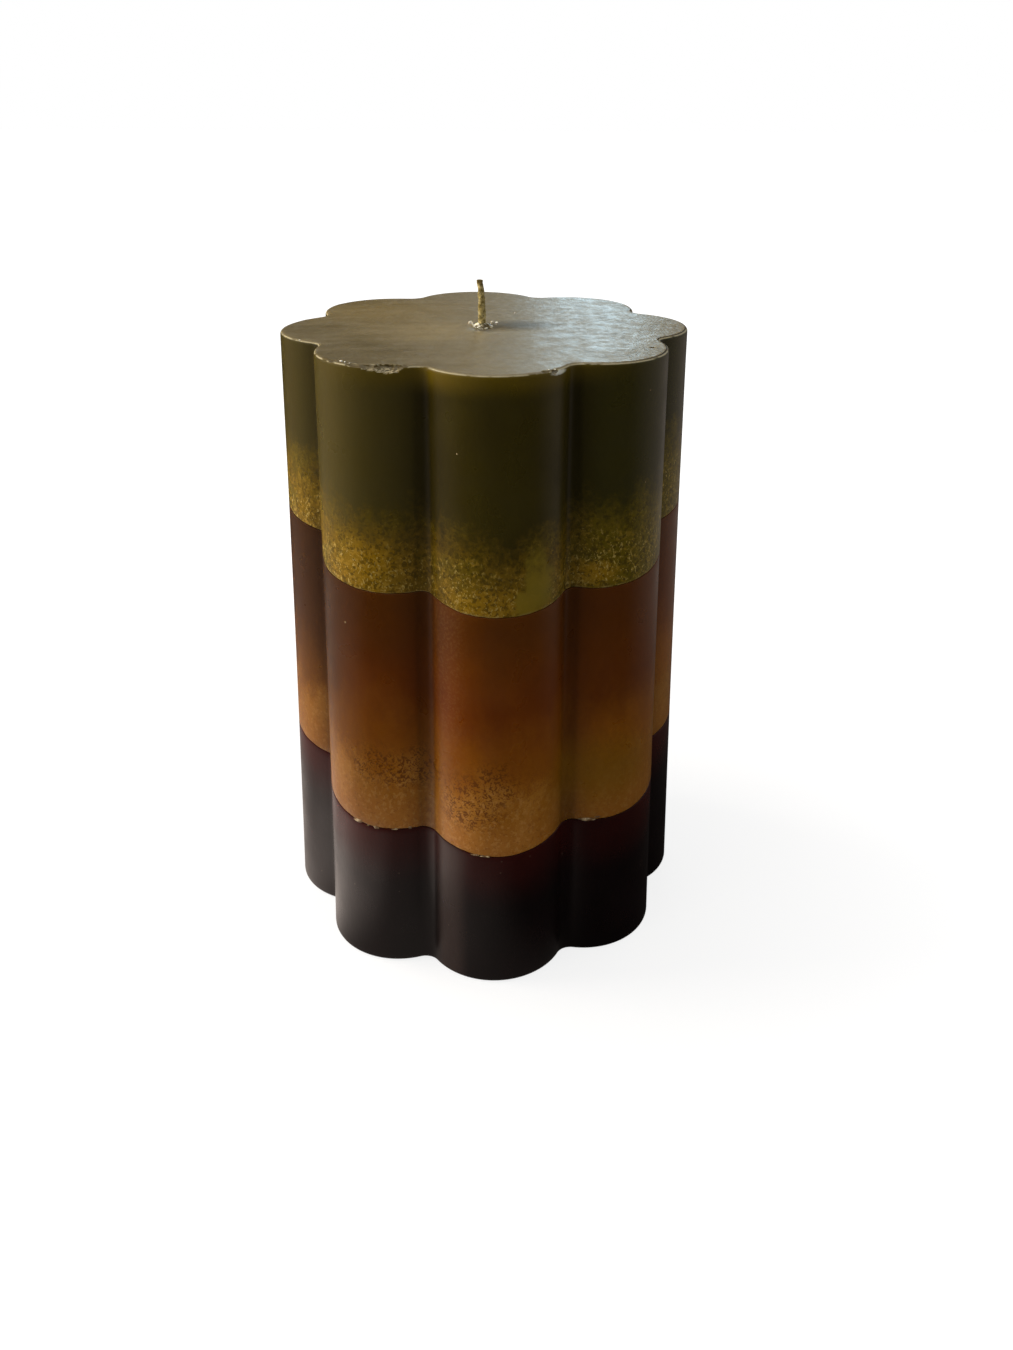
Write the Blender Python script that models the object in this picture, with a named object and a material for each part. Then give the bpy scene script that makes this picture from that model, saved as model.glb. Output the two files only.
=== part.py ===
"""Pillar candle with eight round lobes, poured in three colours of wax round one wick.

Sizes are real, in metres, with +Z up. The candle stands on z = 0 with its axis on Z and one lobe towards -Y.
The mould leaned back while the first two pours set, so both colour changes are slanted planes, low at the
front (-Y). The last pour set upright, so the top face is level.
"""

import math

import bmesh
import bpy
from mathutils import Vector

MM = 0.001

# The fluted wax body
LOBES = 8
TIP_RADIUS = 50.0 * MM  # axis to the outside of a lobe
LOBE_RADIUS = 17.5 * MM  # round of one lobe
VALLEY_FILLET = 3.5 * MM  # round at the bottom of the valley between two lobes
BODY_HEIGHT = 150.0 * MM
WAIST = 0.3 * MM  # how far the set wax has shrunk in at mid-height
FOOT_ROUND = 0.8 * MM  # lower edge, as the mould leaves it
LIP_ROUND = 0.9 * MM  # upper edge, worn soft
FRONT = math.radians(-90)  # direction of the first lobe

# The pours, measured on the axis
BASE_POUR = 46.5 * MM
MIDDLE_POUR = 60.5 * MM
POUR_SLANT = math.radians(13.6)

# The wick and what holds and closes it
WICK_AT = Vector((-0.9 * MM, 1.8 * MM, 0.0))  # a hand-poured candle's wick is a little off the middle
WICK_RADIUS = 1.0 * MM
WICK_TIP_RADIUS = 0.75 * MM  # the plies draw together towards the cut end
WICK_PLIES = 3
PLY_RELIEF = 0.12  # how deep the grooves between the plies are, as a share of the wick's radius
PLY_PITCH = 9.0 * MM  # height of one full twist
WICK_STANDS_OUT = 11.3 * MM
WICK_LEAN = 0.6 * MM  # the cut end bends this far towards -X
SUSTAINER_RADIUS = 10.0 * MM
SUSTAINER_SHEET = 0.4 * MM
SUSTAINER_LIFT = 0.4 * MM  # the disc is let in this far above the foot
NECK_HEIGHT = 6.0 * MM
NECK_FILLET = 1.0 * MM
SEAL_RADIUS = 2.9 * MM
SEAL_DEPTH = 1.5 * MM
SEAL_EDGE = 0.15 * MM  # the seal's thin edge stands this far above the top face
SEAL_CLIMB = 0.75 * MM  # and its collar climbs this far up the wick

# Clearances
POUR_GAP = 0.3 * MM  # between two pours, square to their faces
HOLD_GAP = 0.3 * MM  # between the wax and anything set in it, and between the wick and its neck

# Facets and working distances
LOBE_STEPS = 14
VALLEY_STEPS = 5
EDGE_STEPS = 3
WALL_STEPS = 6
TURN_STEPS = 32
CLIMB_STEPS = 4
WICK_SIDES = 18
WICK_RING_SPACING = 0.75 * MM
SHARP_ANGLE = math.radians(35)
SAME_POINT = 0.001 * MM
CUTTER_PAST = 2 * MM  # how far the cutter runs past the wax at both ends


def material(name, colour, roughness, metallic=0.0, subsurface=0.0):
    """A Principled material with the colour of one pour or piece."""
    made = bpy.data.materials.new(name)
    made.use_nodes = True
    shader = made.node_tree.nodes["Principled BSDF"]
    shader.inputs["Base Color"].default_value = (*colour, 1.0)
    shader.inputs["Roughness"].default_value = roughness
    shader.inputs["Metallic"].default_value = metallic
    shader.inputs["Subsurface Weight"].default_value = subsurface
    made.diffuse_color = (*colour, 1.0)
    return made


def add_object(name, bm, parent, finish=None):
    """Turns a finished bmesh into a named object with outward faces and smooth round walls."""
    bmesh.ops.recalc_face_normals(bm, faces=bm.faces)
    mesh = bpy.data.meshes.new(name)
    bm.to_mesh(mesh)
    bm.free()
    mesh.shade_smooth()
    mesh.set_sharp_from_angle(angle=SHARP_ANGLE)
    if finish:
        mesh.materials.append(finish)
    piece = bpy.data.objects.new(name, mesh)
    bpy.context.scene.collection.objects.link(piece)
    piece.parent = parent
    return piece


def empty(name, place, parent=None):
    """A bare point that pieces hang on."""
    point = bpy.data.objects.new(name, None)
    point.empty_display_size = 10 * MM
    point.location = place
    point.parent = parent
    bpy.context.scene.collection.objects.link(point)
    return point


def skin(bm, rings):
    """Lofts equal rings of points into one wall, and closes it at both ends."""
    loops = [[bm.verts.new(point) for point in ring] for ring in rings]
    count = len(loops[0])
    for low, high in zip(loops, loops[1:]):
        for i in range(count):
            j = (i + 1) % count
            bm.faces.new((low[i], low[j], high[j], high[i]))
    bm.faces.new(loops[0][::-1])
    bm.faces.new(loops[-1])


def turn(profile):
    """Turns a closed (radius, height) profile once round Z."""
    bm = bmesh.new()
    corners = [bm.verts.new((radius, 0.0, height)) for radius, height in profile]
    sides = [bm.edges.new(pair) for pair in zip(corners, corners[1:] + corners[:1])]
    bmesh.ops.spin(
        bm,
        geom=corners + sides,
        cent=(0.0, 0.0, 0.0),
        axis=(0.0, 0.0, 1.0),
        angle=2 * math.pi,
        steps=TURN_STEPS,
        use_merge=True,
    )
    bmesh.ops.remove_doubles(bm, verts=bm.verts, dist=SAME_POINT)
    return bm


# The fluted outline


def polar(centre_distance, centre_angle, radius, angle):
    """A point on a circle whose centre lies off the axis."""
    return Vector(
        (
            centre_distance * math.cos(centre_angle) + radius * math.cos(angle),
            centre_distance * math.sin(centre_angle) + radius * math.sin(angle),
        )
    )


def lobed_ring(height, inset):
    """The eight-lobed outline at one height, drawn in by the same amount all round.

    Drawn in, a lobe's circle shrinks and a valley's fillet grows, and their centres hold still.
    """
    lobe = LOBE_RADIUS - inset
    fillet = VALLEY_FILLET + inset
    lobe_centre = TIP_RADIUS - LOBE_RADIUS
    half = math.pi / LOBES
    across = lobe_centre * math.sin(half)
    fillet_centre = lobe_centre * math.cos(half) + math.sqrt((lobe + fillet) ** 2 - across**2)
    swing = math.atan2(fillet_centre * math.sin(half), fillet_centre * math.cos(half) - lobe_centre)
    ring = []
    for number in range(LOBES):
        crown = FRONT + 2 * half * number
        for step in range(LOBE_STEPS + 1):
            angle = crown + swing * (2 * step / LOBE_STEPS - 1)
            ring.append(polar(lobe_centre, crown, lobe, angle))
        valley = crown + half
        for step in range(1, VALLEY_STEPS):
            angle = valley + math.pi + (swing - half) * (1 - 2 * step / VALLEY_STEPS)
            ring.append(polar(fillet_centre, valley, fillet, angle))
    return [point.to_3d() + Vector((0.0, 0.0, height)) for point in ring]


def wall_inset(height):
    """The wax shrinks as it sets, most of all half-way up."""
    from_middle = 2 * height / BODY_HEIGHT - 1
    return WAIST * (1 - from_middle**2)


def body_rings():
    """Rings from the foot to the top face: a rounded edge, the waisted wall, and the soft lip."""
    stations = []
    for step in range(EDGE_STEPS):
        angle = math.pi / 2 * step / EDGE_STEPS
        stations.append((FOOT_ROUND * (1 - math.cos(angle)), FOOT_ROUND * (1 - math.sin(angle))))
    wall_foot = FOOT_ROUND
    wall_top = BODY_HEIGHT - LIP_ROUND
    for step in range(WALL_STEPS + 1):
        stations.append((wall_foot + (wall_top - wall_foot) * step / WALL_STEPS, 0.0))
    for step in range(1, EDGE_STEPS + 1):
        angle = math.pi / 2 * step / EDGE_STEPS
        stations.append((wall_top + LIP_ROUND * math.sin(angle), LIP_ROUND * (1 - math.cos(angle))))
    return [lobed_ring(height, inset + wall_inset(height)) for height, inset in stations]


# The three pours


def slice_off(bm, height, shift, keep_below):
    """Cuts the body along a pour's slanted face and closes the cut.

    The face crosses the axis at height, and shift moves it square to itself.
    """
    normal = Vector((0.0, -math.sin(POUR_SLANT), math.cos(POUR_SLANT)))
    cut = bmesh.ops.bisect_plane(
        bm,
        geom=bm.verts[:] + bm.edges[:] + bm.faces[:],
        dist=SAME_POINT,
        plane_co=Vector((0.0, 0.0, height)) + normal * shift,
        plane_no=normal,
        clear_outer=keep_below,
        clear_inner=not keep_below,
    )
    rim = [part for part in cut["geom_cut"] if isinstance(part, bmesh.types.BMEdge)]
    bmesh.ops.edgeloop_fill(bm, edges=rim)


def pour(name, floor, ceiling, finish, wick_way, parent):
    """One colour of wax, between two slanted faces where floor or ceiling is given."""
    bm = bmesh.new()
    skin(bm, body_rings())
    if floor is not None:
        slice_off(bm, floor, POUR_GAP / 2, keep_below=False)
    if ceiling is not None:
        slice_off(bm, ceiling, -POUR_GAP / 2, keep_below=True)
    wax = add_object(name, bm, parent, finish)
    bore = wax.modifiers.new("way for the wick", "BOOLEAN")
    bore.operation = "DIFFERENCE"
    bore.solver = "EXACT"
    bore.object = wick_way
    return wax


# The wick, its sustainer and its seal


def neck_radius():
    """Inner radius of the sustainer's neck, and of the seal's hole."""
    return WICK_RADIUS + HOLD_GAP


def sustainer_back(clearance):
    """The disc's edge, its upper side and the fillet into the neck, as an outward offset of the real face."""
    outside = neck_radius() + SUSTAINER_SHEET
    disc_top = SUSTAINER_LIFT + SUSTAINER_SHEET
    profile = [
        (SUSTAINER_RADIUS + clearance, SUSTAINER_LIFT),
        (SUSTAINER_RADIUS + clearance, disc_top + clearance),
    ]
    for step in range(EDGE_STEPS + 1):
        angle = math.pi / 2 * step / EDGE_STEPS
        radius = outside + NECK_FILLET - (NECK_FILLET - clearance) * math.sin(angle)
        height = disc_top + NECK_FILLET - (NECK_FILLET - clearance) * math.cos(angle)
        profile.append((radius, height))
    profile.append((outside + clearance, SUSTAINER_LIFT + NECK_HEIGHT + clearance))
    return profile


def wick_way_cutter(parent):
    """The space in the wax for the sustainer, the wick and the seal, as one turned cutter."""
    back = sustainer_back(HOLD_GAP)
    channel = WICK_RADIUS + HOLD_GAP
    recess = SEAL_RADIUS + HOLD_GAP
    recess_floor = BODY_HEIGHT - SEAL_DEPTH
    profile = [(0.0, -CUTTER_PAST), (back[0][0], -CUTTER_PAST)]
    profile += back[1:]
    profile += [
        (channel, back[-1][1]),
        (channel, recess_floor),
        (recess, recess_floor),
        (recess, BODY_HEIGHT + CUTTER_PAST),
        (0.0, BODY_HEIGHT + CUTTER_PAST),
    ]
    cutter = add_object("wick_way", turn(profile), parent)
    cutter.hide_render = True
    cutter.display_type = "WIRE"
    return cutter


def make_sustainer(finish, parent):
    """A stamped disc and neck in one sheet, open from the foot to the neck's mouth."""
    profile = [(neck_radius(), SUSTAINER_LIFT)]
    profile += sustainer_back(0.0)
    profile.append((neck_radius(), SUSTAINER_LIFT + NECK_HEIGHT))
    return add_object("wick_sustainer", turn(profile), parent, finish)


def make_seal(finish, parent):
    """The drop of wax that closed the wick's hole: a plug with a collar that climbs the wick."""
    plug_floor = BODY_HEIGHT - SEAL_DEPTH + HOLD_GAP
    inner = neck_radius()
    profile = [(inner, plug_floor), (SEAL_RADIUS, plug_floor)]
    for step in range(CLIMB_STEPS + 1):
        share = step / CLIMB_STEPS
        radius = SEAL_RADIUS + (inner - SEAL_RADIUS) * share
        profile.append((radius, BODY_HEIGHT + SEAL_EDGE + (SEAL_CLIMB - SEAL_EDGE) * share**2))
    return add_object("wick_seal", turn(profile), parent, finish)


def wick_ring(height, size, lean, twist):
    """The wick's section at one height: its plies side by side, inside a circle of radius size."""
    ring = []
    for side in range(WICK_SIDES):
        angle = 2 * math.pi * side / WICK_SIDES
        groove = 0.5 - 0.5 * math.cos(WICK_PLIES * (angle - twist))
        radius = size * (1 - PLY_RELIEF * groove)
        ring.append(Vector((radius * math.cos(angle) - lean, radius * math.sin(angle), height)))
    return ring


def make_wick(finish, parent):
    """One cord from the disc's underside to the cut end, twisted and bent only where it stands free."""
    foot = SUSTAINER_LIFT
    free_from = BODY_HEIGHT + SEAL_CLIMB
    tip = BODY_HEIGHT + WICK_STANDS_OUT
    free = tip - free_from
    rings = [wick_ring(foot, WICK_RADIUS, 0.0, 0.0)]
    steps = math.ceil(free / WICK_RING_SPACING)
    for step in range(steps + 1):
        share = step / steps
        size = WICK_RADIUS + (WICK_TIP_RADIUS - WICK_RADIUS) * share
        lean = WICK_LEAN * share**3
        twist = 2 * math.pi * free * share / PLY_PITCH
        rings.append(wick_ring(free_from + free * share, size, lean, twist))
    bm = bmesh.new()
    skin(bm, rings)
    return add_object("wick", bm, parent, finish)


def main():
    for old in list(bpy.data.objects):
        bpy.data.objects.remove(old, do_unlink=True)

    plum_wax = material("plum_wax", (0.022, 0.014, 0.018), 0.36, subsurface=0.05)
    amber_wax = material("amber_wax", (0.19, 0.075, 0.018), 0.38, subsurface=0.25)
    olive_wax = material("olive_wax", (0.10, 0.08, 0.025), 0.42, subsurface=0.25)
    pale_wax = material("pale_wax", (0.46, 0.38, 0.24), 0.45, subsurface=0.3)
    cotton = material("waxed_cotton", (0.35, 0.25, 0.12), 0.7)
    tinned_steel = material("tinned_steel", (0.62, 0.62, 0.6), 0.32, metallic=1.0)

    candle = empty("candle", (0.0, 0.0, 0.0))
    wick_line = empty("wick_line", WICK_AT, candle)
    wick_way = wick_way_cutter(wick_line)

    base_top = BASE_POUR
    middle_top = BASE_POUR + MIDDLE_POUR
    pour("base_layer", None, base_top, plum_wax, wick_way, candle)
    pour("middle_layer", base_top, middle_top, amber_wax, wick_way, candle)
    pour("top_layer", middle_top, None, olive_wax, wick_way, candle)

    make_sustainer(tinned_steel, wick_line)
    make_wick(cotton, wick_line)
    make_seal(pale_wax, wick_line)


main()
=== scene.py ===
# %% [markdown]
# # A pillar candle poured in three colours
# The candle is a column of wax with eight round lobes. It was poured in three goes: a plum black foot, an
# amber brown middle and an olive green head. A waxed cotton wick runs through all of it.
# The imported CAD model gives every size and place. This lesson dresses it: finer meshes for the wax, the
# wick and the small things round it, then a recipe of nodes for each finish, then light and camera.
# We load the model first and keep its box, because the dressed candle has to stay inside it.

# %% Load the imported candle
import functools
import math
import random

import bmesh
import bpy
import numpy as np
from mathutils import Matrix, Vector, noise


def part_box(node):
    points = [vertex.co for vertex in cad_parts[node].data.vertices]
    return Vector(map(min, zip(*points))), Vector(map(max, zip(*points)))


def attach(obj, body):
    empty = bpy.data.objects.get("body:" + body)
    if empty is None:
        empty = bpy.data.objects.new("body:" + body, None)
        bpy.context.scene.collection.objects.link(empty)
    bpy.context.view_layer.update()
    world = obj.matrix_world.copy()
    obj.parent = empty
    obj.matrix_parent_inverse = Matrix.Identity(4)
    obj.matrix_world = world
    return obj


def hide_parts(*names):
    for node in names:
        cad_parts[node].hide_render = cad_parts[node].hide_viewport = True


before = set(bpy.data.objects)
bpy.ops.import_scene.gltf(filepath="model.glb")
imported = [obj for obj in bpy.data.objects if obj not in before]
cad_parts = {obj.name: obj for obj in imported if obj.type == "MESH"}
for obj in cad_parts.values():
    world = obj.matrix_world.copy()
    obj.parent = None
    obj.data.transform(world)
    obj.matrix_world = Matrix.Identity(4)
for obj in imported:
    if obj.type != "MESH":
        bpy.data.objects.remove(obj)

MM = 0.001
UP = Vector((0, 0, 1))
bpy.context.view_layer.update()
print("pieces:", ", ".join(sorted(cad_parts)))

# %% [markdown]
# ## The camera
# A candle this dark reads by its outline, so the view has to match before anything is coloured. The photo
# was taken a little to the left of the candle, from about 30 cm away, looking 16 degrees down.
# We could aim a camera by eye, but with eight lobes every degree shows in where the valleys fall. So the
# eye point and the angles are written as measured on the outline, and the lens shift moves the candle up
# in the frame without tipping its walls.

# %% Set up the camera
FRAME_WIDTH = 1013
FRAME_HEIGHT = 1350
EYE = Vector((-19.86, -297.12, 211.4)) * MM
LOOKS_LEFT = math.radians(-5.665)
LOOKS_DOWN = math.radians(15.759)
HELD_ASKEW = math.radians(0.465)
FOCAL_PIXELS = 1232.5  # focal length, in pixels of the photo
LOOKS_AT_PIXEL = (524.4, 415.2)  # where the lens points straight at, in pixels of the photo
SENSOR = 36.0


def set_up_camera():
    """Places the camera that took the photo."""
    lens = bpy.data.cameras.new("photo_camera")
    lens.sensor_width = SENSOR
    lens.lens = FOCAL_PIXELS * SENSOR / FRAME_HEIGHT
    lens.shift_x = (FRAME_WIDTH / 2 - LOOKS_AT_PIXEL[0]) / FRAME_HEIGHT
    lens.shift_y = (LOOKS_AT_PIXEL[1] - FRAME_HEIGHT / 2) / FRAME_HEIGHT
    lens.clip_start = 10 * MM
    camera = bpy.data.objects.new("photo_camera", lens)
    bpy.context.scene.collection.objects.link(camera)
    turn = Matrix.Rotation(LOOKS_LEFT, 4, "Z")
    tip = Matrix.Rotation(math.pi / 2 - LOOKS_DOWN, 4, "X")
    roll = Matrix.Rotation(HELD_ASKEW, 4, "Z")
    camera.matrix_world = Matrix.Translation(EYE) @ turn @ tip @ roll
    bpy.context.scene.camera = camera
    return lens


photo_lens = set_up_camera()
lens_shift = [round(share, 4) for share in (photo_lens.shift_x, photo_lens.shift_y)]
print("lens in mm:", round(photo_lens.lens, 2), "shift:", lens_shift)

# %% [markdown]
# ## The outline of the wax
# Seen from above the candle is a flower: eight round lobes, with a tight fillet in each valley. Both are
# arcs, so an outline needs only their centres, and drawing the whole outline in by the same amount is a
# step along each point's own normal.
# The CAD mesh has a point every few millimetres. Wax is smooth and catches light in long soft streaks,
# so here each lobe and its valley get 96 points. They are kept as arrays, and a whole ring is moved at once.

# %% Draw the lobed outline
LOBES = 8
TIP_RADIUS = 50.0 * MM
LOBE_RADIUS = 17.5 * MM
VALLEY_FILLET = 3.5 * MM
FRONT = math.radians(-90)
LOBE_COLUMNS = 86
VALLEY_COLUMNS = 10
COLUMNS = LOBES * (LOBE_COLUMNS + VALLEY_COLUMNS)


def lobed_outline():
    """Points round the candle and their outward normals, as two arrays."""
    half = math.pi / LOBES
    lobe_centre = TIP_RADIUS - LOBE_RADIUS
    across = lobe_centre * math.sin(half)
    reach = LOBE_RADIUS + VALLEY_FILLET
    fillet_centre = lobe_centre * math.cos(half) + math.sqrt(reach**2 - across**2)
    swing = math.atan2(fillet_centre * math.sin(half), fillet_centre * math.cos(half) - lobe_centre)
    points = []
    normals = []

    def arc(distance, bearing, radius, angles, outward):
        centre = distance * np.array((math.cos(bearing), math.sin(bearing)))
        spokes = np.stack((np.cos(angles), np.sin(angles)), axis=1)
        points.append(centre + radius * spokes)
        normals.append(outward * spokes)

    for lobe in range(LOBES):
        crown = FRONT + 2 * half * lobe
        valley = crown + half
        over_lobe = np.linspace(-swing, swing, LOBE_COLUMNS, endpoint=False)
        over_valley = np.linspace(swing - half, half - swing, VALLEY_COLUMNS, endpoint=False)
        arc(lobe_centre, crown, LOBE_RADIUS, crown + over_lobe, 1)
        arc(fillet_centre, valley, VALLEY_FILLET, valley + math.pi + over_valley, -1)
    return np.concatenate(points), np.concatenate(normals)


OUTLINE, OUTWARD = lobed_outline()
print("points round the candle:", len(OUTLINE))

# %% [markdown]
# ## Rings and lofts
# Each pour is one closed skin: up its wall, in over its top, down the narrow way for the wick, and out
# again under its foot. Blender could loft this with bridged edge loops. We write the rings as arrays and
# join each to the next instead, because every ring has the same number of points and the last one joins
# back to the first, which closes the skin with no cap to fill.

# %% Make rings and loft them
WICK_AT = np.array((-0.9 * MM, 1.8 * MM))
SMOOTH_BELOW = math.radians(32)


def ring_at(inset, height):
    """The outline drawn in by inset and lifted to height. Both may differ from point to point."""
    flat = OUTLINE - OUTWARD * np.broadcast_to(inset, COLUMNS)[:, None]
    return np.column_stack((flat, np.broadcast_to(height, COLUMNS)))


def spokes_round(sides):
    """Evenly spread angles, and a point on the unit circle at each."""
    angles = np.linspace(0, 2 * math.pi, sides, endpoint=False)
    return angles, np.column_stack((np.cos(angles), np.sin(angles)))


def round_wick(spokes, radius, height):
    """A ring round the wick along the given spokes. Radius and height may differ from point to point."""
    radii = np.broadcast_to(radius, len(spokes))
    return np.column_stack((WICK_AT + spokes * radii[:, None], np.broadcast_to(height, len(spokes))))


def wick_circle(radius, height):
    """A circle round the wick, with as many points as the outline."""
    spokes = OUTLINE - WICK_AT
    return round_wick(spokes / np.linalg.norm(spokes, axis=1)[:, None], radius, height)


def make_piece(name, points, faces):
    """A smooth mesh object whose sharp folds stay sharp."""
    mesh = bpy.data.meshes.new(name)
    mesh.from_pydata(points, [], faces)
    mesh.shade_smooth()
    mesh.set_sharp_from_angle(angle=SMOOTH_BELOW)
    piece = bpy.data.objects.new(name, mesh)
    bpy.context.scene.collection.objects.link(piece)
    return piece


def loft(name, rings, endless=True):
    """Joins equal rings into one skin. An endless skin joins its last ring to its first."""
    count = len(rings[0])
    total = len(rings)
    faces = []
    for row in range(total if endless else total - 1):
        low = row * count
        high = (row + 1) % total * count
        faces += [(low + i, low + (i + 1) % count, high + (i + 1) % count, high + i) for i in range(count)]
    if not endless:
        faces.append(tuple(range(count))[::-1])
        faces.append(tuple(range((total - 1) * count, total * count)))
    return make_piece(name, np.concatenate(rings).tolist(), faces)


def swell(points, size, seed=0.0):
    """Soft noise from -1 to 1 at each point, with bumps about size across."""
    return np.array([noise.noise(Vector(point) / size + Vector((seed, seed, seed))) for point in points])


# %% [markdown]
# ## The pour lines
# The mould leaned back while the first two pours set, so both colour changes are slanted planes, lower at
# the front. On the real candle each line is crisp but not ruled: hot wax melts a little of the cold skin
# under it, and the line wanders by a fraction of a millimetre.
# Both pieces at a line use the same wandering height, with a hair between them. Each edge is rounded by
# a fraction of a millimetre, and that draws the fine dark line seen in the photo.

# %% Write the heights of the pour lines
BODY_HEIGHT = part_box("top_layer")[1].z
BASE_POUR = 46.5 * MM
MIDDLE_POUR = 60.5 * MM
POUR_SLANT = math.radians(13.6)
HAIRLINE = 0.06 * MM
LINE_WANDER = 0.35 * MM
LINE_SHIVER = 0.12 * MM
LOW_LINE = BASE_POUR
HIGH_LINE = BASE_POUR + MIDDLE_POUR


def level(height):
    """A flat height as a function of a ring."""
    return lambda ring: np.full(len(ring), height)


def pour_line(middle, lift):
    """Height of a pour line over any ring's points, lifted a little, as a function."""

    def height(ring):
        flat = np.column_stack((ring[:, 0], ring[:, 1], np.full(len(ring), middle)))
        wander = LINE_WANDER * swell(flat, 11 * MM) + LINE_SHIVER * swell(flat, 2.6 * MM)
        return middle + ring[:, 1] * math.tan(POUR_SLANT) + wander + lift

    return height


plum_head, amber_foot = pour_line(LOW_LINE, -HAIRLINE / 2), pour_line(LOW_LINE, HAIRLINE / 2)
amber_head, olive_foot = pour_line(HIGH_LINE, -HAIRLINE / 2), pour_line(HIGH_LINE, HAIRLINE / 2)
for words, line in (("lower", plum_head), ("upper", amber_head)):
    heights = line(ring_at(0, 0)) / MM
    print(words, "line in mm:", heights.min().round(1), "to", heights.max().round(1))

# %% [markdown]
# ## The wall of a pour
# The wall isn't quite straight. Wax shrinks as it sets, most of all half-way up, so the wall is drawn in
# by a fraction of a millimetre there, and slow swells of a few hundredths make its reflections bend a
# little, as they do on anything cast by hand.
# A wall's rings crowd together near its rounded edges, where the shape turns fast, and spread out between.

# %% Build walls
WAIST = 0.3 * MM
SWELL_DEPTH = 0.05 * MM
ROUND_STEPS = 5


def wall_inset(ring):
    """How far the wall is drawn in at each point of a ring."""
    from_middle = 2 * ring[:, 2] / BODY_HEIGHT - 1
    return WAIST * (1 - from_middle**2) + SWELL_DEPTH * (1 + swell(ring, 23 * MM, 5.0))


def wall_rings(foot, head, foot_round, head_round, spacings):
    """Rings up a wall from foot to head, with rounded edges. Spacings are shares of the way between."""
    edge = ring_at(0, 0)
    low = foot(edge)
    high = head(edge)
    straight = high - head_round - low - foot_round
    turns = np.linspace(0, math.pi / 2, ROUND_STEPS + 1)
    quarter = [(1 - math.sin(turn), 1 - math.cos(turn)) for turn in turns]
    stations = [(low + foot_round * away, foot_round * inset) for away, inset in quarter[::-1]]
    stations += [(low + foot_round + straight * share, 0) for share in spacings]
    stations += [(high - head_round * away, head_round * inset) for away, inset in quarter]
    return [ring_at(inset + wall_inset(ring_at(0, height)), height) for height, inset in stations]


print("swells up to", round(2 * SWELL_DEPTH / MM, 2), "mm deep")

# %% [markdown]
# ## The faces of a pour
# A face runs in from the wall's edge to the way for the wick. Near the edge its rings follow the flower,
# and further in they turn into circles round the wick, so no ring ever crosses itself.
# The top face is the one people look at. It is nearly level, with slow swells left by the skin that
# formed while it cooled, and it sinks into a soft dimple round the wick, because the wick draws heat and
# the wax there sets last.

# %% Build faces
TOP_SWELL = 0.10 * MM
TOP_RIPPLE = 0.035 * MM
RIPPLE_STRETCH = np.array((0.35, 1, 0))
DIMPLE_DEPTH = 0.55 * MM
DIMPLES = (  # place, reach across and along, and share of the depth, of the hollows round the wick
    ((-0.4 * MM, -1.4 * MM), 3.6 * MM, 3.2 * MM, 1.0),
    ((5.6 * MM, -4.6 * MM), 6.5 * MM, 2.6 * MM, 0.35),
)
HIDDEN_INSETS = np.array((1, 4, 9, 14)) * MM
HIDDEN_STEPS = 4
CROWDING = 1.6  # how much the inner rings crowd towards the wick


def top_height(ring):
    """The top face: level, with swells, fine ripples and the dimple round the wick."""
    flat = ring * np.array((1, 1, 0))
    height = BODY_HEIGHT + TOP_SWELL * (swell(flat, 17 * MM, 2.0) - 0.5)
    height += TOP_RIPPLE * swell(flat * RIPPLE_STRETCH, 2.2 * MM)
    for (x, y), reach_x, reach_y, share in DIMPLES:
        off = ((ring[:, 0] - x) / reach_x) ** 2 + ((ring[:, 1] - y) / reach_y) ** 2
        height -= DIMPLE_DEPTH * share * np.exp(-off)
    return height


def face_rings(height, edge_inset, hole_radius, insets=HIDDEN_INSETS, inner_steps=HIDDEN_STEPS):
    """Rings from the wall's edge in to the hole, at the heights that the height function gives."""
    rings = [ring_at(edge_inset + inset, 0) for inset in insets]
    outer = rings[-1]
    inner = wick_circle(hole_radius, 0)
    for share in np.linspace(0, 1, inner_steps + 1)[1:]:
        rings.append(outer + (inner - outer) * (1 - (1 - share) ** CROWDING))
    return [np.column_stack((ring[:, :2], height(ring))) for ring in rings]


print("dimple in mm:", round(DIMPLE_DEPTH / MM, 2))

# %% [markdown]
# ## Chips and nicks
# The lip of the top pour has been knocked. The photo shows one long chip on the front-left lobe, a nick
# on the left lobe, a small break by a front valley, and a pit in the top. Wax breaks in shells: it leaves
# a hollow with a sharp rim, not a dent.
# A Boolean with a rough ball would do, but it cuts every face it meets into slivers. The lip's mesh is
# fine enough to push instead. Each point inside an egg-shaped hollow slides down and inwards until it lies
# on the egg's far side, and the egg's surface is faceted by noise. A point attribute remembers how freshly
# broken each place is, for the finish to read later.

# %% Carve the chips
CHIPS = (  # place on the top face, half length along the edge, reach into the face, depth
    ((-30.6, -38.6), 2.6, 0.9, 0.6),
    ((-27.0, -40.6), 3.6, 1.7, 1.1),
    ((-23.6, -41.6), 4.0, 3.4, 1.7),
    ((-20.6, -41.2), 3.0, 2.0, 0.6),
    ((-45.3, -13.7), 1.5, 0.9, 0.8),
    ((-43.0, -16.5), 1.2, 0.6, 0.6),
    ((12.4, -45.6), 2.0, 1.1, 1.1),
    ((9.4, -46.6), 1.0, 0.6, 0.5),
    ((-35.9, -34.0), 0.9, 0.5, 0.5),
    ((36.4, -26.0), 0.55, 0.5, 0.9),
)
FACET_SIZE = 0.8 * MM
FACET_DEPTH = 0.16
WORTH_A_LOOK = 1.6  # a point further out than this many egg radii can't be inside
PUSH = np.array((0.0, 0.6, -0.8))  # inwards and down


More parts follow.
